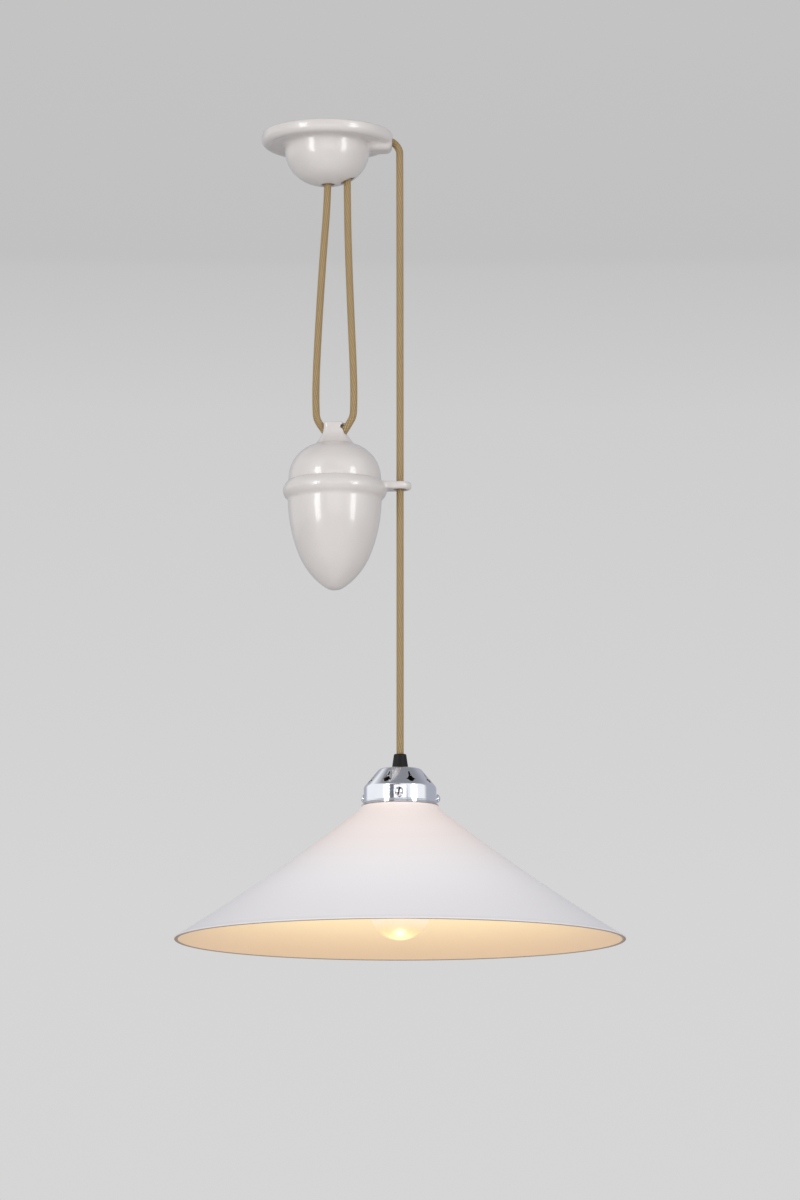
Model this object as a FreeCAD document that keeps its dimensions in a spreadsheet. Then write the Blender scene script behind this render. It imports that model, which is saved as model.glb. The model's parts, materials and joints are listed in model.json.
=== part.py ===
import FreeCAD, Part
import math
import os

import Sketcher
from FreeCAD import Placement, Rotation, Vector

# Rise and fall pendant. Millimetres, +Z up, origin at the middle of the ceiling rose's top face,
# +X from the rose towards the side where the cord leaves it, +Y away from the viewer.

doc = FreeCAD.newDocument("rise_and_fall_pendant")
sheet = doc.addObject("Spreadsheet::Sheet", "Sizes")

DRIVING_SIZES = {
    # ceiling rose
    "rose_radius": 67.0,
    "rose_edge_round": 6.0,
    "rose_rim_depth": 12.5,
    "rose_underside": 10.5,
    "bowl_depth": 53.8,
    "bowl_bottom_radius": 54.0,
    "bowl_knuckle_radius": 35.3,
    "ceramic_wall": 5.0,
    "ear_half_width": 14.5,
    "ear_depth": 18.4,
    "ear_end": 66.4,
    "cord_hole_radius": 6.5,
    "plate_radius": 53.0,
    "plate_thickness": 1.5,
    "fixing_spacing": 50.8,
    "fixing_hole_radius": 2.5,
    "supply_hole_radius": 8.0,
    # cord and the wheels it runs on
    "cord_radius": 3.5,
    "cord_run_depth": 4.0,
    "anchor_side": 1.0,
    "pulley_side": 29.5,
    "pulley_reach": 9.0,
    "roller_side": 57.0,
    "roller_reach": 6.5,
    "exit_slope": 25.0,
    "exit_bend": 17.0,
    "drop_side": 74.4,
    # counterweight
    "weight_side": 8.4,
    "weight_level": 369.0,
    "weight_yaw": -20.0,
    "neck_top": 300.0,
    "neck_slot": 8.6,
    "weight_pulley_level": 309.2,
    "weight_pulley_reach": 8.5,
    "cap_radius": 46.8,
    "cap_dome_radius": 36.0,
    "cap_seat": 360.0,
    "bead_radius": 52.5,
    "acorn_tip": 472.0,
    "eye_hole_radius": 6.4,
    "eye_radius": 11.6,
    "eye_thickness": 8.0,
    "eye_level": 365.5,
    "ballast_top": 361.4,
    # shade and its holder
    "grip_top": 638.5,
    "gallery_top": 653.3,
    "gallery_radius": 36.3,
    "gallery_bottom": 690.3,
    "sheet_metal": 1.2,
    "screw_level": 680.9,
    "collar_radius": 33.4,
    "shade_neck": 38.5,
    "shade_start": 690.6,
    "shade_radius": 225.0,
    "shade_rim": 825.5,
    "shade_wall": 2.8,
    "shade_sweep": 2000.0,
    "bulb_radius": 30.0,
    "bulb_bottom": 825.0,
    "socket_mouth": 742.0,
}


class Size:
    """A length or an angle, with the expression over the sheet's cells that gives it."""

    def __init__(self, value, text):
        self.value = value
        self.text = text

    def joined(self, other, sign, value):
        return Size(value, f"({self.text} {sign} {size(other).text})")

    def __add__(self, other):
        return self.joined(other, "+", self.value + size(other).value)

    def __sub__(self, other):
        return self.joined(other, "-", self.value - size(other).value)

    def __mul__(self, other):
        return self.joined(other, "*", self.value * size(other).value)

    def __truediv__(self, other):
        return self.joined(other, "/", self.value / size(other).value)

    def __radd__(self, other):
        return size(other) + self

    def __rsub__(self, other):
        return size(other) - self

    def __rmul__(self, other):
        return size(other) * self

    def __neg__(self):
        return Size(-self.value, f"(0 - {self.text})")


def size(number):
    if isinstance(number, Size):
        return number
    return Size(float(number), f"({float(number)})")


def values(*sizes):
    return [size(each).value for each in sizes]


for row, (alias, number) in enumerate(DRIVING_SIZES.items(), start=1):
    sheet.set(f"A{row}", alias.replace("_", " "))
    sheet.set(f"B{row}", str(number))
    sheet.setAlias(f"B{row}", alias)
doc.recompute()
cell = {alias: Size(sheet.get(alias), f"Sizes.{alias}") for alias in DRIVING_SIZES}


def bind(thing, **properties):
    """Ties properties to the sheet: a double underscore stands for the dot of a nested one."""
    for name, wanted in properties.items():
        thing.setExpression(name.replace("__", "."), size(wanted).text)


def stand(thing, x=0, y=0, z=0, turned=None):
    """Puts a finished piece in its place."""
    thing.Placement = Placement(Vector(*values(x, y, z)), turned or Rotation())
    bind(thing, Placement__Base__x=x, Placement__Base__y=y, Placement__Base__z=z)
    return thing


# ---- sketches -----------------------------------------------------------------------------------


def sketch_on(body, plane, label):
    support = next(item for item in body.Origin.OriginFeatures if item.Role == plane)
    sketch = body.newObject("Sketcher::SketchObject", label)
    sketch.AttachmentSupport = [(support, "")]
    sketch.MapMode = "FlatFace"
    return sketch


def arc_between(start, end, radius, turn):
    """The short arc from start to end: turn is +1 where it bends to the left, -1 to the right."""
    along = end - start
    left = Vector(-along.y, along.x, 0).normalize()
    rise = math.sqrt(radius * radius - along.Length * along.Length / 4)
    centre = (start + end) * 0.5 + left * (rise * turn)
    first, last = (start, end) if turn > 0 else (end, start)
    angles = [math.atan2(p.y - centre.y, p.x - centre.x) for p in (first, last)]
    if angles[1] < angles[0]:
        angles[1] += 2 * math.pi
    return Part.ArcOfCircle(Part.Circle(centre, Vector(0, 0, 1), radius), *angles)


def draw(sketch, outline):
    """Draws a closed outline. A step is (x, y) for a line there, or (x, y, radius, turn) for an arc."""
    points = [Vector(*values(step[0], step[1]), 0) for step in outline]
    first = sketch.GeometryCount
    ends = []
    for number, step in enumerate(outline):
        start, end = points[number - 1], points[number]
        if len(step) == 2:
            sketch.addGeometry(Part.LineSegment(start, end), False)
            ends.append((1, 2))
        else:
            radius, turn = step[2], step[3]
            arc = arc_between(start, end, size(radius).value, turn)
            index = sketch.addGeometry(arc, False)
            ends.append((1, 2) if turn > 0 else (2, 1))
            ruled = sketch.addConstraint(Sketcher.Constraint("Radius", index, size(radius).value))
            sketch.setExpression(f"Constraints[{ruled}]", size(radius).text)
    count = len(outline)
    for number, step in enumerate(outline):
        here, after = first + number, first + (number + 1) % count
        end, begin = ends[number][1], ends[(number + 1) % count][0]
        sketch.addConstraint(Sketcher.Constraint("Coincident", here, end, after, begin))
        for kind, wanted in (("DistanceX", step[0]), ("DistanceY", step[1])):
            datum = Sketcher.Constraint(kind, -1, 1, here, end, size(wanted).value)
            ruled = sketch.addConstraint(datum)
            sketch.setExpression(f"Constraints[{ruled}]", size(wanted).text)


# ---- ways of making a solid ---------------------------------------------------------------------


def turned_body(label, outline):
    """A turned piece: the outline is (radius, height) and goes once round the Z axis."""
    body = doc.addObject("PartDesign::Body", label)
    sketch = sketch_on(body, "XZ_Plane", f"{label}_outline")
    draw(sketch, outline)
    turning = body.newObject("PartDesign::Revolution", f"{label}_turning")
    turning.Profile = sketch
    turning.ReferenceAxis = (sketch, ["V_Axis"])
    turning.Angle = 360
    return body


def padded_body(label, outline, height, plane="XY_Plane"):
    """A flat piece: the outline is padded by height along the plane's normal."""
    body = doc.addObject("PartDesign::Body", label)
    sketch = sketch_on(body, plane, f"{label}_outline")
    draw(sketch, outline)
    pad = body.newObject("PartDesign::Pad", f"{label}_pad")
    pad.Profile = sketch
    bind(pad, Length=height)
    return body


def round_bar(label, radius, height, x=0, y=0, z=0, turned=None):
    bar = doc.addObject("Part::Cylinder", label)
    bind(bar, Radius=radius, Height=height)
    return stand(bar, x, y, z, turned)


def block(label, length, width, height, x=0, y=0, z=0):
    """A block centred on x and y, with its underside at z."""
    box = doc.addObject("Part::Box", label)
    bind(box, Length=length, Width=width, Height=height)
    return stand(box, x - size(length) / 2, y - size(width) / 2, z)


def joined(label, *solids):
    union = doc.addObject("Part::MultiFuse", label)
    union.Shapes = list(solids)
    union.Refine = True
    return union


def cut(label, base, *tools):
    taken = tools[0] if len(tools) == 1 else joined(f"{label}_hollows", *tools)
    rest = doc.addObject("Part::Cut", label)
    rest.Base = base
    rest.Tool = taken
    rest.Refine = True
    return rest


def group(label, solids):
    """Like pieces that share a node."""
    together = doc.addObject("Part::Compound", label)
    together.Links = list(solids)
    return together


def made_shape(label, shape):
    feature = doc.addObject("Part::Feature", label)
    feature.Shape = shape
    feature.Placement = Placement()
    return feature


TIP_UP = Rotation(Vector(1, 0, 0), 180)
ALONG_X = Rotation(Vector(0, 1, 0), 90)
ALONG_Y = Rotation(Vector(1, 0, 0), -90)

# ---- the cord's route ---------------------------------------------------------------------------


def route_wire(route):
    """Straight runs joined by tangent arcs. A point is (place, radius), and radius None takes
    0.45 of the shorter run beside it, divided by the tangent of half the turn."""
    places = [Vector(*place) for place, radius in route]
    edges = []
    radii = []
    here = places[0]
    for number in range(1, len(route) - 1):
        before, corner, after = places[number - 1 : number + 2]
        incoming = (corner - before).normalize()
        outgoing = (after - corner).normalize()
        half_turn = incoming.getAngle(outgoing) / 2
        shorter = min((corner - before).Length, (after - corner).Length)
        radius = route[number][1] or 0.45 * shorter / math.tan(half_turn)
        cut_back = radius * math.tan(half_turn)
        start = corner - incoming * cut_back
        end = corner + outgoing * cut_back
        inward = (outgoing - incoming).normalize()
        middle = corner + inward * (radius / math.cos(half_turn) - radius)
        if (start - here).Length > 0.001:
            edges.append(Part.LineSegment(here, start).toShape())
        edges.append(Part.Arc(start, middle, end).toShape())
        radii.append(round(radius, 1))
        here = end
    edges.append(Part.LineSegment(here, places[-1]).toShape())
    return Part.Wire(edges), radii


def tube(label, route, radius):
    """A cord's solid: a round section carried along the route."""
    wire, radii = route_wire(route)
    start = Vector(*route[0][0])
    heading = (Vector(*route[1][0]) - start).normalize()
    section = Part.Wire([Part.Circle(start, heading, radius).toShape()])
    shape = wire.makePipeShell([section], True, False)
    expected = math.pi * radius * radius * wire.Length
    print(
        f"{label}: {wire.Length:.0f} mm long, radii {radii}, "
        f"volume {shape.Volume / expected:.3f} of section times length"
    )
    return made_shape(label, shape)


parts = []


def keep(thing):
    parts.append(thing)
    return thing


# ---- ceiling rose -------------------------------------------------------------------------------

HALF_TURN_DOWN = 25.0  # where the bowl's bottom meets its knuckle, degrees from the axis


def bowl_points(inset):
    """The bowl's bottom, where its two arcs meet, and where the knuckle ends near its wall."""
    flat = cell["bowl_bottom_radius"] - inset
    knuckle = cell["bowl_knuckle_radius"] - inset
    gap = cell["bowl_bottom_radius"] - cell["bowl_knuckle_radius"]
    sine, cosine = math.sin(math.radians(HALF_TURN_DOWN)), math.cos(math.radians(HALF_TURN_DOWN))
    centre_height = cell["bowl_bottom_radius"] - cell["bowl_depth"]
    meeting = (flat * sine, centre_height - flat * cosine)
    wall_end = (gap * sine + knuckle, centre_height - gap * cosine)
    return flat, knuckle, meeting, wall_end


def rose_outside():
    edge, radius, under = cell["rose_edge_round"], cell["rose_radius"], cell["rose_underside"]
    deep = cell["rose_rim_depth"]
    flat, knuckle, meeting, wall_end = bowl_points(0)
    root_round = 2.5
    return [
        (0, 0),
        (0, -cell["bowl_depth"]),
        (meeting[0], meeting[1], flat, 1),
        (wall_end[0], wall_end[1], knuckle, 1),
        (wall_end[0] + 0.6, -(under + root_round)),
        (wall_end[0] + 0.6 + root_round, -under, root_round, -1),
        (radius - edge - 4, -under),
        (radius - edge, -deep, 6.0, 1),
        (radius, edge - deep, edge, 1),
        (radius, -1.0),
        (radius - 1.0, 0, 1.0, 1),
    ]


def rose_inside():
    wall = cell["ceramic_wall"]
    flat, knuckle, meeting, wall_end = bowl_points(wall)
    recess = cell["plate_radius"] + 2
    return [
        (0, 1),
        (0, -(cell["bowl_depth"] - wall)),
        (meeting[0], meeting[1], flat, 1),
        (wall_end[0], wall_end[1], knuckle, 1),
        (wall_end[0], -3.4),
        (recess, -3.4),
        (recess, 1),
    ]


def rounded_ear():
    """The hanging box at the rose's right end, with its end and its lower edges rounded."""
    length = cell["ear_end"] - 30
    raw = block(
        "ear_block", length, 2 * cell["ear_half_width"], cell["ear_depth"] - 3,
        30 + length / 2, 0, -cell["ear_depth"],
    )
    doc.recompute()
    low, end = -cell["ear_depth"].value, cell["ear_end"].value
    rounds = []
    for number, edge in enumerate(raw.Shape.Edges, start=1):
        box = edge.BoundBox
        if box.XMin > end - 0.01 and box.ZLength > 1:
            rounds.append((number, 7.0, 7.0))
        elif box.ZMax < low + 0.01 and box.XMax > end - 0.01:
            rounds.append((number, 6.4, 6.4))
    rounded = doc.addObject("Part::Fillet", "ear_rounded")
    rounded.Base = raw
    rounded.Edges = rounds
    return rounded


CHANNEL_HALF_WIDTH = 7.6
COVER_SCREW_PLACES = [(32.0, 38.0), (-32.0, 38.0)]


def build_cover():
    outside = turned_body("cover_outside", rose_outside())
    shell = joined("cover_solid", outside, rounded_ear())
    inside = turned_body("cover_inside", rose_inside())
    channel = block("cover_channel", 32.6, 2 * CHANNEL_HALF_WIDTH, 16.1, 46.5, 0, -15.1)
    lie = Rotation(Vector(0, 1, 0), 90 + cell["exit_slope"].value)
    exit_hole = round_bar("exit_hole", 5.4, 20, 56, 0, -3.4, lie)
    holes = [
        round_bar(f"bowl_hole_{name}", cell["cord_hole_radius"], 27, side, 0, -60)
        for name, side in (
            ("anchor", cell["anchor_side"]),
            ("pulley", cell["pulley_side"] - cell["pulley_reach"]),
        )
    ]
    for number, (x, y) in enumerate(COVER_SCREW_PLACES):
        holes.append(round_bar(f"cover_screw_hole_{number}", 2.2, 16, x, y, -14))
    catch = block("cover_catch_slot", 12, 5, 2.1, 0, -56, -3.41)
    return keep(cut("ceiling_cover", shell, inside, channel, exit_hole, catch, *holes))


CHEEK_INNER, CHEEK_OUTER = 5.4, 6.6
TONGUE_END = 61.8
EARTH_PLACE = (-12.0, -29.0)
SUPPLY_PLACE = (-20.0, 30.0)
ANCHOR_SCREW_PLACES = [(1.0, -9.0), (1.0, 9.0)]
TERMINAL_FIX = (-26.0, 4.5)


def build_mounting_plate():
    thick = cell["plate_thickness"]
    disc = round_bar("plate_disc", cell["plate_radius"], thick, 0, 0, -thick)
    tongue = block("plate_tongue", TONGUE_END, 2 * CHEEK_OUTER, thick, TONGUE_END / 2, 0, -thick)
    catch = block("plate_catch", 10, 7.5, 1.6, 0, -53.75, -3.0)
    cheek_outline = [
        (20.0, -1.4),
        (20.0, -17.5),
        (23.0, -20.5),
        (33.0, -20.5),
        (37.0, -14.6),
        (TONGUE_END, -14.6),
        (TONGUE_END, -1.4),
    ]
    cheeks = []
    for name, side in (("front", -CHEEK_INNER), ("back", CHEEK_OUTER)):
        cheek = padded_body(f"cheek_{name}", cheek_outline, CHEEK_OUTER - CHEEK_INNER, plane="XZ_Plane")
        cheeks.append(stand(cheek, 0, side, 0))
    solid = joined("plate_solid", disc, tongue, catch, *cheeks)
    window = block("plate_window", 50, 8.4, 4, 39, 0, -3)
    hollows = [window]
    for name, side, level, radius in (
        ("pulley", cell["pulley_side"], pulley_level, 2.05),
        ("roller", cell["roller_side"], roller_level, 1.55),
    ):
        hollows.append(round_bar(f"{name}_pin_hole", radius, 16, side, -8, level, ALONG_Y))
    half = cell["fixing_spacing"] / 2
    for name, x, y, radius in (
        ("fixing_front", 0, -half, cell["fixing_hole_radius"]),
        ("fixing_back", 0, half, cell["fixing_hole_radius"]),
        ("supply", *SUPPLY_PLACE, cell["supply_hole_radius"]),
        ("earth", *EARTH_PLACE, 2.05),
        ("anchor_front", *ANCHOR_SCREW_PLACES[0], 1.55),
        ("anchor_back", *ANCHOR_SCREW_PLACES[1], 1.55),
        ("terminal", *TERMINAL_FIX, 1.55),
        ("cover_right", *COVER_SCREW_PLACES[0], 2.05),
        ("cover_left", *COVER_SCREW_PLACES[1], 2.05),
    ):
        hollows.append(round_bar(f"plate_hole_{name}", radius, 4, x, y, -3))
    return keep(cut("mounting_plate", solid, *hollows))


def screw(label, shank, length, head, head_height, slot=0.9):
    """A round-head screw along Z: the shank's tip at z = 0, the head on top, with a slot in it."""
    crown = (head * head + head_height * head_height) / (2 * head_height)
    blank = turned_body(
        f"{label}_blank",
        [
            (0, 0),
            (shank - 0.3, 0),
            (shank, 0.4),
            (shank, length),
            (head, length),
            (head, length + 0.3),
            (0, length + head_height + 0.3, crown, 1),
        ],
    )
    groove = block(f"{label}_slot", 3 * head, slot, head_height, 0, 0, length + head_height * 0.55)
    return cut(label, blank, groove)


def hung_screw(label, shank, length, head, head_height, x, y, z):
    """A screw that points up into the plate, with its head at z."""
    piece = screw(label, shank, length, head, head_height)
    return stand(piece, x, y, size(z) + length, TIP_UP)


def wheel(label, reach, groove_round, flange, half_width, bore):
    """A grooved wheel about the Z axis, for a cord whose centre runs at reach from the axis."""
    edge = math.sqrt(groove_round**2 - (reach.value - flange) ** 2)
    return turned_body(
        label,
        [
            (bore, -half_width),
            (flange, -half_width),
            (flange, -edge),
            (flange, edge, groove_round, -1),
            (flange, half_width),
            (bore, half_width),
        ],
    )


def pin(label, radius, half_length, head, head_height):
    """A rivetted pin about the Z axis with a head at each end."""
    inner, outer = half_length, half_length + head_height
    return turned_body(
        label,
        [
            (0, -outer),
            (head, -outer),
            (head, -inner),
            (radius, -inner),
            (radius, inner),
            (head, inner),
            (head, outer),
            (0, outer),
        ],
    )


pulley_level = -(cell["cord_run_depth"] + cell["pulley_reach"])
roller_level = -(cell["cord_run_depth"] + cell["roller_reach"])
ceiling_pulley_place = (cell["pulley_side"], 0, pulley_level)
exit_roller_place = (cell["roller_side"], 0, roller_level)

build_cover()
build_mounting_plate()

GROOVE_ROUND = 3.6
keep(stand(wheel("ceiling_pulley", cell["pulley_reach"], GROOVE_ROUND, 8.6, 5.0, 2.1),
           *ceiling_pulley_place, ALONG_Y))
keep(stand(wheel("exit_roller", cell["roller_reach"], GROOVE_ROUND, 4.0, 5.0, 1.6),
           *exit_roller_place, ALONG_Y))
keep(stand(pin("ceiling_pulley_pin", 2.0, 6.65, 3.2, 0.7), *ceiling_pulley_place, ALONG_Y))
keep(stand(pin("exit_roller_pin", 1.5, 6.65, 2.6, 0.7), *exit_roller_place, ALONG_Y))

# the clamp that holds the cord's dead end, hung under the plate on two long screws
ANCHOR_LOW, ANCHOR_HIGH = -21.0, -11.0
anchor_block = block("anchor_block", 13, 25, ANCHOR_HIGH - ANCHOR_LOW, 1, 0, ANCHOR_LOW)
anchor_bore = round_bar("anchor_bore", cell["cord_radius"] + 0.05, 14, cell["anchor_side"], 0, -23)
anchor_screw_bores = [
    round_bar(f"anchor_screw_bore_{number}", 1.6, 14, x, y, -23)
    for number, (x, y) in enumerate(ANCHOR_SCREW_PLACES)
]
keep(cut("cord_anchor", anchor_block, anchor_bore, *anchor_screw_bores))
keep(group("anchor_screws", [
    hung_screw(f"anchor_screw_{number}", 1.5, 20.8, 2.7, 1.8, x, y, ANCHOR_LOW - 0.02)
    for number, (x, y) in enumerate(ANCHOR_SCREW_PLACES)
]))

# the three-way terminal block on the plate's left, its mouths towards the cord
TERMINAL_SIZE = (16.0, 28.0, 11.5)
TERMINAL_TOP = -1.55
TERMINAL_PITCH = 9.0
terminal_base = block("terminal_base", *TERMINAL_SIZE, -26, 0, TERMINAL_TOP - TERMINAL_SIZE[2])
terminal_hollows = [round_bar("terminal_fix_hole", 1.6, 16, *TERMINAL_FIX, -15)]
terminal_screws = []
for number in (-1, 0, 1):
    y = number * TERMINAL_PITCH
    terminal_hollows.append(round_bar(f"terminal_way_{number + 1}", 1.7, 18, -35, y, -6.5, ALONG_X))
    for side in (-30.5, -21.5):
        name = f"{number + 1}_{'left' if side < -27 else 'right'}"
        well = 13.2
        terminal_hollows.append(round_bar(f"terminal_well_{name}", 2.0, 6.0, side, y, -well))
        terminal_screws.append(
            hung_screw(f"terminal_screw_{name}", 1.3, 3.2, 1.8, 1.2, side, y, -well + 2.3)
        )
keep(cut("terminal_block", terminal_base, *terminal_hollows))
keep(group("terminal_screws", terminal_screws))

keep(hung_screw("earth_screw", 2.0, 1.5, 4.0, 2.6, *EARTH_PLACE, -1.55))
keep(group("cover_screws", [
    hung_screw(f"cover_screw_{number}", 2.0, 10.5, 3.1, 2.0, x, y, -cell["rose_underside"] - 0.02)
    for number, (x, y) in enumerate(COVER_SCREW_PLACES)
]))

# ---- cord ---------------------------------------------------------------------------------------

CORD = cell["cord_radius"].value
RUN = -cell["cord_run_depth"].value
DROP_X = cell["drop_side"].value
DROP_START = -26.0
LOOP_TOP = -44.0
EIGHTH = math.tan(math.radians(22.5))
pulley_x, pulley_r = values(cell["pulley_side"], cell["pulley_reach"])
roller_x, roller_r = values(cell["roller_side"], cell["roller_reach"])
slope = math.radians(cell["exit_slope"].value)
roller_corner = roller_x + roller_r * math.tan(slope / 2)
bend_corner = RUN - (DROP_X - roller_corner) * math.tan(slope)

# the cord inside the rose: up from the bowl's right hole, over the pulley, over the roller and out
keep(tube("rose_cord", [
    ((pulley_x - pulley_r, 0, LOOP_TOP), None),
    ((pulley_x - pulley_r, 0, RUN - pulley_r + pulley_r * EIGHTH), pulley_r),
    ((pulley_x - pulley_r * EIGHTH, 0, RUN), pulley_r),
    ((roller_corner, 0, RUN), roller_r),
    ((DROP_X, 0, bend_corner), cell["exit_bend"].value),
    ((DROP_X, 0, DROP_START), None),
], CORD))

# the drop to the shade hangs plumb and straight
keep(tube("drop_cord", [
    ((DROP_X, 0, DROP_START), None),
    ((DROP_X, 0, -cell["grip_top"].value), None),
], CORD))

# the loop: down from the anchor, round the weight's pulley, and up to the ceiling pulley
yaw = math.radians(cell["weight_yaw"].value)
WEIGHT_X = cell["weight_side"].value


def loop_point(side, height):
    """A point of the loop's plane, which turns with the weight: side is measured from the weight's axis."""
    return (WEIGHT_X + side * math.cos(yaw), side * math.sin(yaw), height)


LEG_ANGLE = math.radians(35)  # how far the cord leans out where it leaves the weight's pulley
wheel_r = cell["weight_pulley_reach"].value
wheel_z = -cell["weight_pulley_level"].value
foot_side = wheel_r * math.tan((math.pi / 2 - LEG_ANGLE) / 2)
shoulder_side = 20.3
shoulder_z = wheel_z - wheel_r + (shoulder_side - foot_side) / math.tan(LEG_ANGLE)
SHOULDER_BEND = 23.0
anchor_x = cell["anchor_side"].value
keep(tube("loop_cord", [
    ((anchor_x, 0, LOOP_TOP), None),
    ((anchor_x, 0, -62), None),
    ((-4.2, 2.4, -128), None),
    ((-8.9, 5.2, -206), None),
    ((-11.3, 7.0, -262), None),
    (loop_point(-shoulder_side, shoulder_z), SHOULDER_BEND),
    (loop_point(-foot_side, wheel_z - wheel_r), wheel_r),
    (loop_point(foot_side, wheel_z - wheel_r), wheel_r),
    (loop_point(shoulder_side, shoulder_z), SHOULDER_BEND),
    ((27.6, -6.6, -258), None),
    ((24.9, -4.4, -200), None),
    ((21.6, -1.6, -120), None),
    ((pulley_x - pulley_r, 0, -62), None),
    ((pulley_x - pulley_r, 0, LOOP_TOP), None),
], CORD))

# the dead end goes up through the clamp; its cores come out of the sheath and bend to the terminals
SHEATH_END = -9.6
CORE_RADIUS = 0.9
keep(tube("cord_dead_end", [((anchor_x, 0, LOOP_TOP), None), ((anchor_x, 0, SHEATH_END), None)], CORD))
cores = []
for number in (-1, 0, 1):
    start_y = 1.9 * number
    way_y = number * TERMINAL_PITCH
    core = tube(f"core_{number + 1}", [
        ((anchor_x, start_y, SHEATH_END), None),
        ((anchor_x, start_y, -6.6), 2.0),
        ((-7.5, 2.2 * start_y, -5.4), None),
        ((-14.5, way_y, -6.5), None),
        ((-23.5, way_y, -6.5), None),
    ], CORE_RADIUS)
    cores.append(core)
keep(group("wire_tails", cores))

# ---- counterweight ------------------------------------------------------------------------------

TURNED_WEIGHT = Rotation(Vector(0, 0, 1), cell["weight_yaw"].value)
SEAT = -cell["cap_seat"]
CAP_ROUND_CENTRE = cell["cap_radius"] - cell["cap_dome_radius"]
NECK_ROOT = -323.0
LEDGE_RADIUS = 34.0
LEDGE_HEIGHT = 5.0
SEAT_STEP = 44.2
HOOD_LEVEL = -302.6  # the underside of the roof over the wheel
HOOD_HALF_WIDTH = 8.8


def rounded_rectangle(height, half_width, half_depth, corner):
    """A level ring of four straight sides and four round corners."""
    across, along = half_width - corner, half_depth - corner
    edges = []
    for turn in range(4):
        first = math.pi / 2 * turn
        signs = ((1, 1), (-1, 1), (-1, -1), (1, -1))
        centre = Vector(across * signs[turn][0], along * signs[turn][1], height)
        points = [
            centre + Vector(corner * math.cos(first + step), corner * math.sin(first + step), 0)
            for step in (0, math.pi / 4, math.pi / 2)
        ]
        edges.append(Part.Arc(*points).toShape())
    sides = []
    for number, edge in enumerate(edges):
        after = edges[(number + 1) % 4]
        sides += [edge, Part.LineSegment(edge.Vertexes[1].Point, after.Vertexes[0].Point).toShape()]
    return Part.Wire(sides)


def neck_solid():
    """The neck that rises from the cap: a round foot drawn in to a waist, then out to a flat top."""
    levels = (
        (NECK_ROOT - 3, 21.5, 21.0, 20.0),
        (-317.0, 15.4, 13.0, 11.0),
        (-312.0, 12.6, 9.6, 6.0),
        (-307.5, 11.5, 8.2, 4.2),
        (-cell["neck_top"].value, 11.4, 8.0, 4.0),
    )
    rings = [rounded_rectangle(*level) for level in levels]
    return Part.makeLoft(rings, True, False)


def build_cap():
    dome, radius = cell["cap_dome_radius"], cell["cap_radius"]
    brow = SEAT + 2.4
    top = brow + dome
    outside = turned_body("cap_outside", [
        (0, top),
        (0, SEAT + 0.4),
        (SEAT_STEP, SEAT + 0.4),
        (SEAT_STEP, SEAT + 0.1),
        (radius - 0.6, SEAT + 0.1),
        (radius, SEAT + 0.7),
        (radius, brow),
        (CAP_ROUND_CENTRE, top, dome, 1),
    ])
    neck = made_shape("cap_neck", neck_solid())
    solid = joined("cap_solid", outside, neck)
    inner = dome - 7
    inside = turned_body("cap_inside", [
        (0, brow + inner),
        (0, SEAT),
        (LEDGE_RADIUS, SEAT),
        (LEDGE_RADIUS, SEAT + LEDGE_HEIGHT),
        (LEDGE_RADIUS + 5, SEAT + LEDGE_HEIGHT),
        (CAP_ROUND_CENTRE, brow + inner, inner, 1),
    ])
    half_slot = cell["neck_slot"] / 2
    level = -cell["weight_pulley_level"]
    slot = block("neck_slot_cut", 60, cell["neck_slot"], 24, 0, 0, level - 4.2)
    trough = round_bar("neck_trough", cell["weight_pulley_reach"] + cell["cord_radius"] + 0.5,
                       cell["neck_slot"], 0, -half_slot, level, ALONG_Y)
    pin_hole = round_bar("neck_pin_hole", 2.05, 24, 0, -6.6, level, ALONG_Y)
    wheel_room = joined("wheel_room", slot, trough, pin_hole)
    above_trough = block("above_hood", 2 * HOOD_HALF_WIDTH, 40, 20, 0, 0, HOOD_LEVEL)
    wheel_space = stand(cut("wheel_space", wheel_room, above_trough), 0, 0, 0, TURNED_WEIGHT)
    cap = cut("weight_cap", solid, inside, wheel_space)
    return keep(stand(cap, cell["weight_side"], 0, 0))


def acorn_outline():
    """The acorn below the seat: bead, then three arcs drawn in to a rounded point."""
    bead = -cell["weight_level"]
    tip = -cell["acorn_tip"]
    return [
        (0, tip),
        (9.75, tip + 3.1, 17.0, 1),
        (36.0, bead - 67.0, 74.5, 1),
        (47.4, bead - 12.0, 154.0, 1),
        (48.6, bead - 9.2, 3.2, -1),
        (cell["bead_radius"], bead, 10.0, 1),
        (47.6, SEAT - 0.7, 16.0, 1),
        (46.4, SEAT - 0.1),
        (SEAT_STEP, SEAT - 0.1),
        (SEAT_STEP, SEAT - 1.4),
    ]


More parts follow.
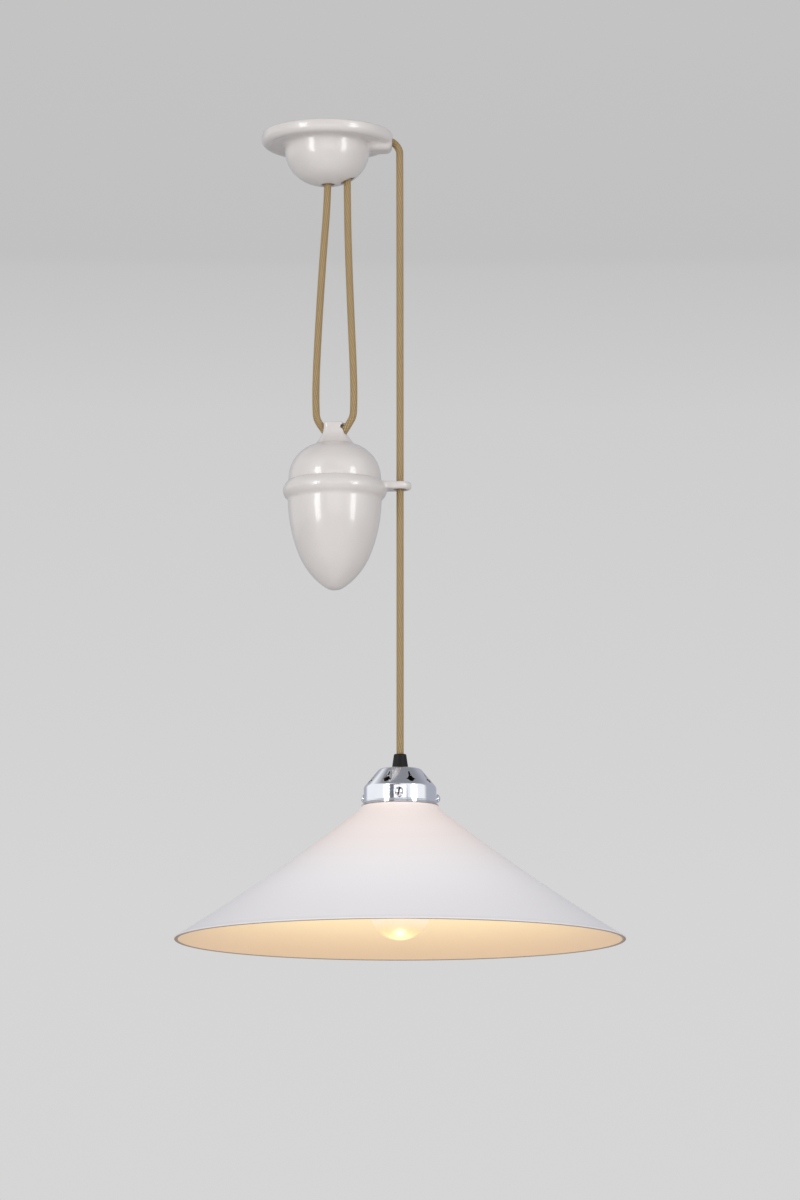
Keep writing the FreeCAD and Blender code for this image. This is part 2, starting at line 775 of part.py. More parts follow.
def build_body():
    bead = -cell["weight_level"]
    outline = acorn_outline()
    outside = turned_body("acorn_outside", [*outline, (0, SEAT - 1.4)])
    eye_x = cell["drop_side"] - cell["weight_side"]
    half = cell["eye_thickness"] / 2
    eye = turned_body("eye_ring", [
        (cell["eye_radius"] - 3, -half),
        (cell["eye_radius"], -half + 3, 3, 1),
        (cell["eye_radius"], half - 3),
        (cell["eye_radius"] - 3, half, 3, 1),
        (0, half),
        (0, -half),
    ])
    stand(eye, eye_x, 0, -cell["eye_level"])
    arm = padded_body("guide_arm", [
        (44, -15.5),
        (50, -12.4),
        (56, -11.0),
        (62, -10.4),
        (62, 10.4),
        (56, 11.0),
        (50, 12.4),
        (44, 15.5),
    ], cell["eye_thickness"] - 0.4)
    stand(arm, 0, 0, -cell["eye_level"] - half + 0.2)
    solid = joined("body_solid", outside, arm, eye)
    inside = turned_body("acorn_inside", [
        (0, -cell["acorn_tip"] + 12),
        (6.0, -cell["acorn_tip"] + 14.0),
        (28.5, bead - 66.0, 78.0, 1),
        (38.6, bead - 14.0, 128.0, 1),
        (38.6, SEAT),
        (0, SEAT),
    ])
    eye_hole = round_bar("eye_hole", cell["eye_hole_radius"], 20, eye_x, 0, -cell["eye_level"] - 10)
    body = cut("weight_body", solid, inside, eye_hole)
    return keep(stand(body, cell["weight_side"], 0, 0))


build_cap()
build_body()

keep(stand(turned_body("weight_seal", [
    (39.0, SEAT + 0.35),
    (39.0, SEAT - 1.35),
    (44.1, SEAT - 1.35),
    (44.1, SEAT + 0.35),
]), cell["weight_side"], 0, 0))

bead_level = -cell["weight_level"]
keep(stand(turned_body("ballast", [
    (3.05, -cell["acorn_tip"] + 40),
    (3.05, -cell["ballast_top"]),
    (37.9, -cell["ballast_top"]),
    (37.9, bead_level - 14.0),
    (27.8, bead_level - 65.6, 128.0, -1),
    (5.6, -cell["acorn_tip"] + 15.2, 78.0, -1),
    (0, -cell["acorn_tip"] + 14.0),
    (0, -cell["acorn_tip"] + 40),
]), cell["weight_side"], 0, 0))

ROD_TOP = -341.0
keep(round_bar("tie_rod", 3.0, ROD_TOP + cell["acorn_tip"] - 40.2, cell["weight_side"], 0,
               -cell["acorn_tip"] + 40.1))
bar_blank = block("bridge_blank", 84, 14, 4, 0, 0, SEAT + LEDGE_HEIGHT + 0.05)
bar_hole = round_bar("bridge_hole", 3.1, 10, 0, 0, SEAT + 3)
bridge_cup = turned_body("bridge_limit", [(0, SEAT), (37.8, SEAT), (37.8, SEAT + 20), (0, SEAT + 20)])
bridge = doc.addObject("Part::Common", "bridge_trimmed")
bridge.Base = bar_blank
bridge.Tool = bridge_cup
keep(stand(cut("bridge_bar", bridge, bar_hole), cell["weight_side"], 0, 0))

nut_blank = doc.addObject("Part::Prism", "nut_blank")
nut_blank.Polygon = 6
bind(nut_blank, Circumradius=5.8, Height=5)
stand(nut_blank, 0, 0, SEAT + LEDGE_HEIGHT + 4.1)
nut_hole = round_bar("nut_hole", 3.05, 10, 0, 0, SEAT + 8)
keep(stand(cut("tie_nut", nut_blank, nut_hole), cell["weight_side"], 0, 0))

weight_wheel_place = (cell["weight_side"], 0, -cell["weight_pulley_level"])
WEIGHT_PULLEY_TURN = TURNED_WEIGHT.multiply(ALONG_Y)
keep(stand(wheel("weight_pulley", cell["weight_pulley_reach"], GROOVE_ROUND, 6.3, 4.0, 2.1),
           *weight_wheel_place, WEIGHT_PULLEY_TURN))
keep(stand(turned_body("weight_pulley_pin", [(0, -6.5), (2.0, -6.5), (2.0, 7.5), (0, 7.5)]),
           *weight_wheel_place, WEIGHT_PULLEY_TURN))

# ---- shade holder -------------------------------------------------------------------------------

keep(stand(turned_body("cord_grip", [
    (cell["cord_radius"] + 0.1, 0),
    (6.0, 0),
    (6.3, -0.4),
    (8.2, -14.3),
    (8.2, -14.75),
    (5.0, -14.75),
    (5.0, -20.8),
    (cell["cord_radius"] + 0.1, -20.8),
]), cell["drop_side"], 0, -cell["grip_top"]))


def gallery_outline(inset, hole):
    """The pressed dish: flat top, pierced cone, knee, straight band, small bead and flared lip."""
    wide = cell["gallery_radius"] - inset
    inner = size(inset)
    bottom = cell["gallery_top"] - cell["gallery_bottom"] - (0.5 if inner.value else 0)
    return [
        (hole, -inner),
        (18.26, -inner),
        (22.1 - inner * 0.768, -1.8 - inner * 0.64, 5.0 - inner, -1),
        (35.37 - inner * 0.768, -17.73 - inner * 0.64),
        (wide, -20.29, 4.0 - inner, -1),
        (wide, -33.2),
        (wide + 0.9, -34.2, 1.3, -1),
        (wide + 0.2, -35.3, 1.3, -1),
        (wide + 2.4, bottom, 6.0, 1),
        (hole, bottom),
    ]


# one piercing about its own middle: pointed above, wide at its two side points, round below
PIERCING = [
    (-5.2, -2.9, 6.0, -1),
    (-3.0, -3.6),
    (3.0, -3.6, 3.2, 1),
    (5.2, -2.9),
    (1.1, 2.9, 6.0, -1),
    (0.75, 5.0),
    (-0.75, 5.0, 0.8, 1),
    (-1.1, 2.9),
]
PIERCING_COUNT = 8
FIRST_PIERCING = 20.0
PIERCING_LEVEL = -10.6
SCREW_AZIMUTHS = (-91.6, 28.4, 148.4)


def about_z(angle):
    return Rotation(Vector(0, 0, 1), angle)


def build_gallery():
    outside = turned_body("gallery_outside", gallery_outline(0, 0))
    inside = turned_body("gallery_inside", gallery_outline(cell["sheet_metal"], 0))
    hollows = [inside, round_bar("gallery_neck_hole", 5.1, 10, 0, 0, -8)]
    for number in range(PIERCING_COUNT):
        piercing = padded_body(f"piercing_{number}", PIERCING, 60, plane="XZ_Plane")
        turn = FIRST_PIERCING + number * 360 / PIERCING_COUNT
        hollows.append(stand(piercing, 0, 0, PIERCING_LEVEL, about_z(turn)))
    for number, azimuth in enumerate(SCREW_AZIMUTHS):
        lie = about_z(azimuth).multiply(ALONG_X)
        level = cell["gallery_top"] - cell["screw_level"]
        hollows.append(round_bar(f"gallery_screw_hole_{number}", 2.1, 50, 0, 0, level, lie))
    gallery = cut("gallery", outside, *hollows)
    return keep(stand(gallery, cell["drop_side"], 0, -cell["gallery_top"]))


build_gallery()

SCREW_TIP = 33.7
gallery_screws = []
for number, azimuth in enumerate(SCREW_AZIMUTHS):
    piece = screw(f"gallery_screw_{number}", 2.0, 7.6, 4.8, 3.6, 1.1)
    lie = about_z(azimuth).multiply(ALONG_X)
    reach = math.radians(azimuth)
    gallery_screws.append(stand(
        piece, cell["drop_side"] + SCREW_TIP * math.cos(reach), SCREW_TIP * math.sin(reach),
        -cell["screw_level"], lie.multiply(about_z(20 * number - 10)),
    ))
keep(group("gallery_screws", gallery_screws))

# the shade: a collar held by the screws, a rounded shoulder and a long, slightly hollow cone
collar, thick = cell["collar_radius"], cell["shade_wall"]
start, neck = -cell["shade_start"], cell["shade_neck"]
rim, rim_level = cell["shade_radius"], -cell["shade_rim"]
SHOULDER = (45.0, -8.1)
SHOULDER_ROUND = 33.8
keep(stand(turned_body("shade", [
    (collar - thick, start + 15.0),
    (collar + 0.2, start + 15.0),
    (collar, start + 12.0),
    (collar, start + 2.0),
    (neck - 1.2, start),
    (neck, start - 1.2, 1.2, -1),
    (SHOULDER[0], start + SHOULDER[1], SHOULDER_ROUND, 1),
    (rim - 1.4, rim_level + 2.4, cell["shade_sweep"], 1),
    (rim, rim_level + 1.3, 1.5, -1),
    (rim - 1.6, rim_level, 1.5, -1),
    (rim - 3.8, rim_level + 0.7, 4.0, -1),
    (SHOULDER[0] - 1.74, start + SHOULDER[1] - 2.2, cell["shade_sweep"] + thick, -1),
    (neck - 2.3, start - 2.9, SHOULDER_ROUND + thick, -1),
    (collar - thick, start - 1.2),
]), cell["drop_side"], 0, 0))

# lampholder, from the grip down: threaded cap, ring under the gallery, body, insert, shell, contact
under_gallery = -cell["gallery_top"] - cell["sheet_metal"]
mouth = -cell["socket_mouth"]
keep(stand(turned_body("shade_ring", [
    (10.1, under_gallery - 0.4),
    (15.4, under_gallery - 0.4),
    (15.4, under_gallery - 3.6),
    (10.1, under_gallery - 3.6),
]), cell["drop_side"], 0, 0))
keep(stand(turned_body("lampholder_cap", [
    (5.15, under_gallery - 0.1),
    (10.0, under_gallery - 0.1),
    (10.0, under_gallery - 6.0),
    (18.0, under_gallery - 14.0, 8.1, -1),
    (19.0, under_gallery - 34.0),
    (16.6, under_gallery - 34.0),
    (15.7, under_gallery - 15.0),
    (13.6, under_gallery - 11.0),
    (9.0, under_gallery - 8.5),
    (5.15, under_gallery - 8.5),
]), cell["drop_side"], 0, 0))
keep(stand(turned_body("lampholder_body", [
    (13.6, under_gallery - 24.0),
    (15.4, under_gallery - 24.0),
    (15.4, under_gallery - 34.1),
    (20.0, under_gallery - 34.1),
    (20.0, mouth + 2.0),
    (18.6, mouth + 0.6, 1.5, -1),
    (17.4, mouth + 0.6),
    (15.7, mouth + 3.0),
    (15.7, under_gallery - 36.0),
    (13.6, under_gallery - 36.0),
]), cell["drop_side"], 0, 0))
INSERT_TOP = under_gallery - 36.1
INSERT_LOW = INSERT_TOP - 24.0
keep(stand(turned_body("lampholder_insert", [
    (0, INSERT_TOP),
    (15.5, INSERT_TOP),
    (15.5, INSERT_LOW),
    (0, INSERT_LOW),
]), cell["drop_side"], 0, 0))
keep(stand(turned_body("socket_shell", [
    (14.6, INSERT_LOW - 0.1),
    (15.3, INSERT_LOW - 0.1),
    (15.3, mouth + 7.0),
    (14.6, mouth + 7.0),
]), cell["drop_side"], 0, 0))

# the lead inside the holder: the cord through the grip, then its two cores to the insert
LEAD_END = -664.0
lead = tube("lead_sheath", [
    ((DROP_X, 0, -cell["grip_top"].value), None),
    ((DROP_X, 0, LEAD_END), None),
], CORD)
lead_cores = [
    tube(f"lead_core_{name}", [
        ((DROP_X + 1.6 * side, 0, LEAD_END), None),
        ((DROP_X + 1.6 * side, 0, LEAD_END - 4.0), None),
        ((DROP_X + 6.0 * side, 0, LEAD_END - 12.0), None),
        ((DROP_X + 6.0 * side, 0, INSERT_TOP.value), None),
    ], CORE_RADIUS)
    for name, side in (("left", -1), ("right", 1))
]
keep(group("lampholder_lead", [lead, *lead_cores]))

# the lamp: screw cap, frosted globe, and the stem inside it
BULB_LENGTH = 107.0
CAP_TOP = -cell["bulb_bottom"] + BULB_LENGTH
keep(stand(turned_body("centre_contact", [
    (0, INSERT_LOW - 0.1),
    (0, CAP_TOP + 0.1),
    (2.6, CAP_TOP + 0.1),
    (5.0, INSERT_LOW - 0.1),
]), cell["drop_side"], 0, 0))
THREAD_TURNS = 5
THREAD_PITCH = 3.6
THREAD_TOP = CAP_TOP - 4.0
cap_outline = [
    (0, CAP_TOP),
    (4.8, CAP_TOP),
    (4.8, CAP_TOP - 1.2),
    (11.2, THREAD_TOP),
    (12.3, THREAD_TOP),
]
for turn_number in range(THREAD_TURNS):
    level = THREAD_TOP - THREAD_PITCH * turn_number
    cap_outline += [(12.3, level - 0.7), (12.3, level - 2.9, 1.35, -1)]
CAP_LOW = THREAD_TOP - THREAD_TURNS * THREAD_PITCH - 3.0
cap_outline += [(12.3, CAP_LOW + 2.0), (13.2, CAP_LOW + 1.0), (13.2, CAP_LOW), (0, CAP_LOW)]
cap_blank = turned_body("bulb_cap_blank", cap_outline)
cap_hollow = round_bar("bulb_cap_hollow", 11.4, 21.0, 0, 0, CAP_LOW - 1)
keep(stand(cut("bulb_cap", cap_blank, cap_hollow), cell["drop_side"], 0, 0))

GLASS = 0.9
globe = cell["bulb_radius"]
centre_level = -cell["bulb_bottom"] + globe
NECK_CURVE = 37.4
NECK_RADIUS = 14.5
NECK_LEVEL = centre_level + 43.0
MEETING = (0.770, 0.638)  # the direction from the ball's middle to where the neck's curve meets it
keep(stand(turned_body("bulb_globe", [
    (12.4, CAP_LOW - 0.1),
    (13.3, CAP_LOW - 0.1),
    (NECK_RADIUS, NECK_LEVEL),
    (globe * MEETING[0], centre_level + globe * MEETING[1], NECK_CURVE, 1),
    (0, centre_level - globe, globe, -1),
    (0, centre_level - globe + GLASS),
    ((globe - GLASS) * MEETING[0], centre_level + (globe - GLASS) * MEETING[1], globe - GLASS, 1),
    (NECK_RADIUS - GLASS, NECK_LEVEL, NECK_CURVE + GLASS, -1),
]), cell["drop_side"], 0, 0))
keep(stand(turned_body("bulb_stem", [
    (0, CAP_LOW + 2.0),
    (10.8, CAP_LOW + 2.0),
    (10.8, CAP_LOW + 1.0),
    (4.4, CAP_LOW - 6.0, 14.0, 1),
    (2.6, CAP_LOW - 26.0),
    (0, CAP_LOW - 26.0),
]), cell["drop_side"], 0, 0))

# ---- check and write ----------------------------------------------------------------------------

doc.recompute()
for thing in doc.Objects:
    troubles = [state for state in thing.State if state in ("Invalid", "Error")]
    if troubles:
        raise RuntimeError(f"{thing.Label} is {troubles}")

os.makedirs("parts", exist_ok=True)
for thing in parts:
    shape = thing.Shape
    if shape.isNull() or not shape.isValid():
        raise RuntimeError(f"{thing.Label} has no sound shape")
    shape.exportStep(f"parts/{thing.Label}.step")
    box = shape.BoundBox
    print(
        f"{thing.Label:20s} {len(shape.Solids):2d} solids {shape.Volume / 1000:9.2f} cm3  "
        f"x {box.XMin:7.1f} {box.XMax:7.1f}  y {box.YMin:7.1f} {box.YMax:7.1f}  "
        f"z {box.ZMin:7.1f} {box.ZMax:7.1f}"
    )
print(f"{len(parts)} nodes")
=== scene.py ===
import json
import math

import bpy
import numpy as np
from mathutils import Matrix, Vector


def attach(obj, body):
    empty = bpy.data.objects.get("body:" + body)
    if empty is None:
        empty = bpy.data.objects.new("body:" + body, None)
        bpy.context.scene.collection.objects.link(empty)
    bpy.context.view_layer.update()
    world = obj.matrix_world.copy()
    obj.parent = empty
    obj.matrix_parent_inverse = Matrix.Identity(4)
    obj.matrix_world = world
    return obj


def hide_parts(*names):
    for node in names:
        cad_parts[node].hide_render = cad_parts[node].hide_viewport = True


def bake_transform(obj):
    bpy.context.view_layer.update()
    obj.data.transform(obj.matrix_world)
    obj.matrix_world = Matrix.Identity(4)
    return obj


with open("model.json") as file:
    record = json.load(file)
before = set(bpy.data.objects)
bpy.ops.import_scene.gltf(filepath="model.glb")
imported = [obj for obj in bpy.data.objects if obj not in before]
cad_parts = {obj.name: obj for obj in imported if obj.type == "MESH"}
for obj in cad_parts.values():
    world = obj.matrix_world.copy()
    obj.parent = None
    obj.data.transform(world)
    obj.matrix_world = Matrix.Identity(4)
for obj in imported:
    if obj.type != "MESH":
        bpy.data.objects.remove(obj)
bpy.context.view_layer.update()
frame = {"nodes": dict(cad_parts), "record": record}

# Rise and fall pendant. The dictionaries of sizes are in millimetres, in the frame's axes.
mm = 0.001


def toMetres(point):
    return Vector(point) * mm


# camera, at the photograph's height, distance and tilt
cameraSizes = {
    "place": (74.3, -4948.0, -1286.0),
    "tiltDegrees": 9.23,
    "focalPixels": 4980.0,
    "imageHeightPixels": 1200.0,
    "sensorWidth": 36.0,
}


def makeCamera(s):
    data = bpy.data.cameras.new("viewCamera")
    data.sensor_fit = "AUTO"
    data.sensor_width = s["sensorWidth"]
    data.lens = s["focalPixels"] / s["imageHeightPixels"] * s["sensorWidth"]
    data.clip_start = 0.1
    data.clip_end = 60.0
    camera = bpy.data.objects.new("viewCamera", data)
    camera.location = toMetres(s["place"])
    camera.rotation_euler = (math.radians(90 + s["tiltDegrees"]), 0, 0)
    bpy.context.scene.collection.objects.link(camera)
    bpy.context.scene.camera = camera


makeCamera(cameraSizes)
print("camera ready")


# shader maths: an expression on Value objects adds its Math nodes
class Value:
    def __init__(self, paint, socket):
        self.paint = paint
        self.socket = socket

    def math(self, operation, *others):
        return self.paint.add(
            "ShaderNodeMath", {"operation": operation}, {0: self, **dict(enumerate(others, 1))}
        ).out(0)

    def __add__(self, other):
        return self.math("ADD", other)

    __radd__ = __add__

    def __sub__(self, other):
        return self.math("SUBTRACT", other)

    def __mul__(self, other):
        return self.math("MULTIPLY", other)

    def __truediv__(self, other):
        return self.math("DIVIDE", other)

    def __mod__(self, other):
        return self.math("FLOORED_MODULO", other)

    def floor(self):
        return self.math("FLOOR")

    def clamped(self, low=0.0, high=1.0):
        return self.math("MAXIMUM", low).math("MINIMUM", high)

    def below(self, limit):
        return self.math("LESS_THAN", limit)

    def smooth(self, low, high):
        node = self.paint.add(
            "ShaderNodeMapRange",
            {"interpolation_type": "SMOOTHSTEP", "clamp": True},
            {"Value": self, "From Min": low, "From Max": high, "To Min": 0.0, "To Max": 1.0},
        )
        return node.out(0)


class Step:
    def __init__(self, paint, node):
        self.paint = paint
        self.node = node

    def out(self, name):
        return Value(self.paint, self.node.outputs[name])


# the node tree of a material or of the world
class Paint:
    def __init__(self, owner, endKind):
        self.owner = owner
        self.owner.use_nodes = True
        self.tree = self.owner.node_tree
        self.tree.nodes.clear()
        self.end = self.tree.nodes.new(endKind)

    def add(self, kind, settings, inputs):
        node = self.tree.nodes.new(kind)
        for name, setting in settings.items():
            if name == "stops":
                ramp = node.color_ramp
                while len(ramp.elements) < len(setting):
                    ramp.elements.new(0.5)
                for element, (place, colour) in zip(ramp.elements, setting):
                    element.position = place
                    element.color = colour
            else:
                setattr(node, name, setting)
        for name, given in inputs.items():
            if isinstance(given, Value):
                self.tree.links.new(given.socket, node.inputs[name])
            else:
                node.inputs[name].default_value = given
        return Step(self, node)

    def coordinates(self, kind="Object"):
        return self.add("ShaderNodeTexCoord", {}, {}).out(kind)

    def axes(self, vector):
        step = self.add("ShaderNodeSeparateXYZ", {}, {"Vector": vector})
        return [step.out(axis) for axis in "XYZ"]

    def scaled(self, vector, scale):
        return self.add("ShaderNodeMapping", {}, {"Vector": vector, "Scale": scale}).out("Vector")

    def noise(self, vector, scale, detail=2.0, roughness=0.5):
        return self.add(
            "ShaderNodeTexNoise",
            {},
            {"Vector": vector, "Scale": scale, "Detail": detail, "Roughness": roughness},
        ).out(0)

    def attribute(self, name):
        return self.add("ShaderNodeAttribute", {"attribute_name": name}, {}).out("Fac")

    def mix(self, mask, first, second):
        # the node's sockets 6 and 7 are its two colours, and output 2 is their mixture
        step = self.add("ShaderNodeMix", {"data_type": "RGBA"}, {0: mask, 6: first, 7: second})
        return step.out(2)

    def bump(self, height, strength, distance):
        return self.add(
            "ShaderNodeBump", {}, {"Height": height, "Strength": strength, "Distance": distance}
        ).out("Normal")

    def principled(self, **inputs):
        named = {name.replace("_", " "): given for name, given in inputs.items()}
        self.cover(self.add("ShaderNodeBsdfPrincipled", {}, named))
        return self.owner

    def cover(self, shader):
        self.tree.links.new(shader.out(0).socket, self.end.inputs["Surface"])


def newPaint(name):
    return Paint(bpy.data.materials.new(name), "ShaderNodeOutputMaterial")


def linear(red, green, blue):
    # a display colour, 0 to 255, as the renderer's linear one
    def one(level):
        level = level / 255
        return level / 12.92 if level <= 0.04045 else ((level + 0.055) / 1.055) ** 2.4

    return (one(red), one(green), one(blue), 1.0)


# finishes
def glazedCeramic():
    paint = newPaint("glazedCeramic")
    place = paint.coordinates()
    cloud = paint.noise(place, 26.0, 3.0)
    speck = paint.noise(place, 420.0, 2.0).smooth(0.70, 0.78)
    tone = paint.mix(cloud, linear(214, 209, 206), linear(207, 202, 199))
    tone = paint.mix(speck * 0.35, tone, linear(168, 158, 146))
    wave = paint.noise(place, 38.0, 1.0)
    return paint.principled(
        Base_Color=tone,
        Roughness=0.30 + cloud * 0.10,
        Coat_Weight=0.6,
        Coat_Roughness=0.09,
        Normal=paint.bump(wave, 0.10, 0.0012),
    )


def chromedSteel():
    paint = newPaint("chromedSteel")
    place = paint.coordinates()
    smear = paint.noise(place, 60.0, 4.0)
    scuff = paint.noise(paint.scaled(place, (1.0, 1.0, 14.0)), 160.0, 3.0).smooth(0.62, 0.78)
    tone = paint.mix(smear, linear(240, 242, 247), linear(230, 233, 241))
    # painted shade: the screw slots' faces are painted dark, as shade in the recess
    tone = paint.mix(paint.attribute("slotFace"), tone, linear(58, 58, 64))
    return paint.principled(
        Base_Color=tone,
        Metallic=1.0,
        Roughness=0.08 + smear * 0.07 + scuff * 0.10,
    )


def metal(name, colour, roughness, grain=0.10):
    paint = newPaint(name)
    place = paint.coordinates()
    mottle = paint.noise(place, 140.0, 4.0)
    tone = paint.mix(mottle, linear(*colour), linear(*[level * 0.86 for level in colour]))
    return paint.principled(
        Base_Color=tone,
        Metallic=1.0,
        Roughness=roughness + mottle * grain,
        Normal=paint.bump(mottle, 0.15, 0.0002),
    )


def moulded(name, colour, roughness, grain=0.05, gloss=0.5):
    paint = newPaint(name)
    place = paint.coordinates()
    mottle = paint.noise(place, 900.0, 3.0)
    cloud = paint.noise(place, 35.0, 2.0)
    tone = paint.mix(cloud, linear(*colour), linear(*[level * 0.9 for level in colour]))
    return paint.principled(
        Base_Color=tone,
        Roughness=roughness + mottle * 0.10,
        Specular_IOR_Level=gloss,
        Normal=paint.bump(mottle, grain, 0.0003),
    )


def braided():
    paint = newPaint("braidedCord")
    along, around = paint.axes(paint.coordinates("UV"))[:2]
    first = around + along
    second = around - along
    # crossing yarns, each passing over two and under three, so the flecks climb aslant
    over = ((first.floor() * 2.0 + second.floor()) % 5.0).below(2.0)
    place = paint.coordinates()
    fleck = paint.noise(place, 700.0, 2.0)
    worn = paint.noise(place, 60.0, 2.0)
    rise = paint.mix(over, linear(122, 98, 62), linear(184, 158, 114))
    tone = paint.mix(fleck.smooth(0.30, 0.80) * 0.5, rise, linear(178, 156, 116))
    tone = paint.mix(worn * 0.3, tone, linear(146, 126, 92))
    fuzz = paint.noise(place, 2600.0, 2.0)
    return paint.principled(
        Base_Color=tone,
        Roughness=0.85,
        Sheen_Weight=0.15,
        Sheen_Roughness=0.5,
        Normal=paint.bump(fuzz, 0.35, 0.0004),
    )


# glow sets how strongly the shade's painted glow shines
opalSizes = {"rimLevel": -825.5, "height": 135.0, "glow": 0.36}


def opalGlass(s):
    paint = newPaint("opalGlass")
    place = paint.coordinates()
    inside = paint.attribute("insideFace")
    rim = paint.attribute("rimFace")
    height = ((paint.axes(place)[2] - s["rimLevel"] * mm) / (s["height"] * mm)).clamped()
    cloud = paint.noise(place, 9.0, 2.0)
    # painted light: the lamp's warm light shining through the glass is painted in, strongest nearest
    # the lamp
    paintedLampWarmth = height.smooth(0.35, 0.95)
    # painted shade: the outer face is painted darker towards the bottom, where less light falls
    outsideWithPaintedLight = paint.mix(height.smooth(0.0, 0.5), linear(231, 229, 231), linear(243, 240, 241))
    outsideWithPaintedLight = paint.mix(paintedLampWarmth * 0.8, outsideWithPaintedLight, linear(240, 229, 223))
    outsideWithPaintedLight = paint.mix(cloud * 0.25, outsideWithPaintedLight, linear(237, 235, 237))
    # painted lamplight: the inner face is painted warm cream, lighter towards the top near the lamp
    paintedLampLitLining = paint.mix(height.smooth(0.0, 0.5), linear(232, 206, 176), linear(244, 224, 192))
    tone = paint.mix(inside, outsideWithPaintedLight, paintedLampLitLining)
    tone = paint.mix(rim, tone, linear(172, 152, 138))
    # painted glow: the shade emits light of its own, though it is no lamp: warm on the outer face near
    # the top, and on the inner face brighter towards the top; the rim gets none
    through = paint.mix(paintedLampWarmth, (0, 0, 0, 1), (0.24, 0.12, 0.07, 1))
    bright = paint.mix(height.smooth(0.0, 0.45), linear(164, 136, 106), linear(255, 248, 190))
    glow = paint.mix(inside, through, bright)
    glow = paint.mix(rim, glow, (0, 0, 0, 1))
    return paint.principled(
        Base_Color=tone,
        Roughness=0.42 + cloud * 0.06,
        Coat_Weight=0.15,
        Coat_Roughness=0.25,
        Emission_Color=glow,
        Emission_Strength=s["glow"],
    )


frostSizes = {"lowest": -825.0, "brightWithin": 20.0, "glow": 0.5}


def frostedGlass(s):
    paint = newPaint("frostedGlass")
    place = paint.coordinates()
    height = ((paint.axes(place)[2] - s["lowest"] * mm) / (s["brightWithin"] * mm)).clamped()
    streak = paint.noise(paint.scaled(place, (1.0, 1.0, 0.2)), 160.0, 3.0)
    glow = paint.mix(height.smooth(0.25, 0.95), linear(190, 138, 60), linear(255, 252, 240))
    glow = paint.mix(streak.smooth(0.5, 0.8) * 0.4, glow, linear(255, 226, 176))
    return paint.principled(
        Base_Color=linear(196, 178, 148),
        Roughness=0.35 + streak * 0.1,
        Emission_Color=glow,
        Emission_Strength=s["glow"],
    )


def clearGlass():
    paint = newPaint("clearGlass")
    return paint.principled(
        Base_Color=linear(225, 232, 232),
        Roughness=0.08,
        Alpha=0.5,
    )


def feltRing():
    paint = newPaint("feltRing")
    fibre = paint.noise(paint.coordinates(), 1500.0, 4.0)
    tone = paint.mix(fibre, linear(96, 92, 88), linear(122, 118, 112))
    return paint.principled(Base_Color=tone, Roughness=0.95, Normal=paint.bump(fibre, 0.6, 0.0004))


finishes = {
    "white_ceramic": glazedCeramic(),
    "chromed_steel": chromedSteel(),
    "zinc_steel": metal("zincSteel", (186, 188, 192), 0.30),
    "wheel_brass": metal("wheelBrass", (205, 170, 96), 0.26),
    "terminal_brass": metal("terminalBrass", (212, 178, 104), 0.30),
    "lamp_aluminium": metal("lampAluminium", (214, 214, 216), 0.28),
    "ballast_iron": metal("ballastIron", (70, 70, 72), 0.55),
    "dark_plastic": moulded("darkPlastic", (48, 46, 46), 0.5),
    "black_plastic": moulded("blackPlastic", (18, 16, 16), 0.5, 0.05, 0.25),
    "pale_plastic": moulded("palePlastic", (222, 221, 214), 0.42),
    "wire_cover": moulded("wireCover", (120, 70, 42), 0.35),
    "holder_ceramic": moulded("holderCeramic", (232, 228, 220), 0.6),
    "braided_cord": braided(),
    "felt": feltRing(),
    "opal_glass": opalGlass(opalSizes),
    "frosted_glass": frostedGlass(frostSizes),
    "clear_glass": clearGlass(),
}


def dress(piece, slotName):
    piece.data.materials.clear()
    piece.data.materials.append(finishes[slotName])


for item in frame["record"]["subparts"]:
    dress(frame["nodes"][item["node"]], item["material_slot"])
print("finishes ready")


# cords: the routes are the ones the solids follow
# an arc is cut into steps of this many degrees or less, and a corner with no radius of its
# own takes this share of its shorter run
arcStepDegrees = 15
looseShare = 0.45


def softenedRoute(route):
    # control points of the straight runs and of the arcs that join them
    places = [toMetres(place) for place, radius in route]
    control = [places[0]]
    for number in range(1, len(route) - 1):
        before, corner, after = places[number - 1 : number + 2]
        incoming = (corner - before).normalized()
        outgoing = (after - corner).normalized()
        turn = incoming.angle(outgoing)
        shorter = min((corner - before).length, (after - corner).length)
        given = route[number][1]
        radius = given * mm if given else looseShare * shorter / math.tan(turn / 2)
        inward = (outgoing - incoming).normalized()
        centre = corner + inward * (radius / math.cos(turn / 2))
        steps = max(1, math.ceil(math.degrees(turn) / arcStepDegrees))
        axis = incoming.cross(outgoing).normalized()
        spoke = corner - incoming * (radius * math.tan(turn / 2)) - centre
        for step in range(steps):
            angle = turn * (step + 0.5) / steps
            reach = 1 / math.cos(turn / steps / 2)
            control.append(centre + Matrix.Rotation(angle, 3, axis) @ spoke * reach)
    control.append(places[-1])
    return control


def nurbsPath(name, control):
    curve = bpy.data.curves.new(name, "CURVE")
    curve.dimensions = "3D"
    spline = curve.splines.new("NURBS")
    spline.points.add(len(control) - 1)
    for point, place in zip(spline.points, control):
        point.co = (*place, 1.0)
    spline.order_u = 3
    spline.use_endpoint_u = True
    spline.resolution_u = 12
    holder = bpy.data.objects.new(name, curve)
    bpy.context.scene.collection.objects.link(holder)
    bpy.context.view_layer.update()
    line = bpy.data.meshes.new_from_object(holder.evaluated_get(bpy.context.evaluated_depsgraph_get()))
    path = np.array([tuple(vertex.co) for vertex in line.vertices])
    bpy.data.objects.remove(holder)
    bpy.data.meshes.remove(line)
    return path


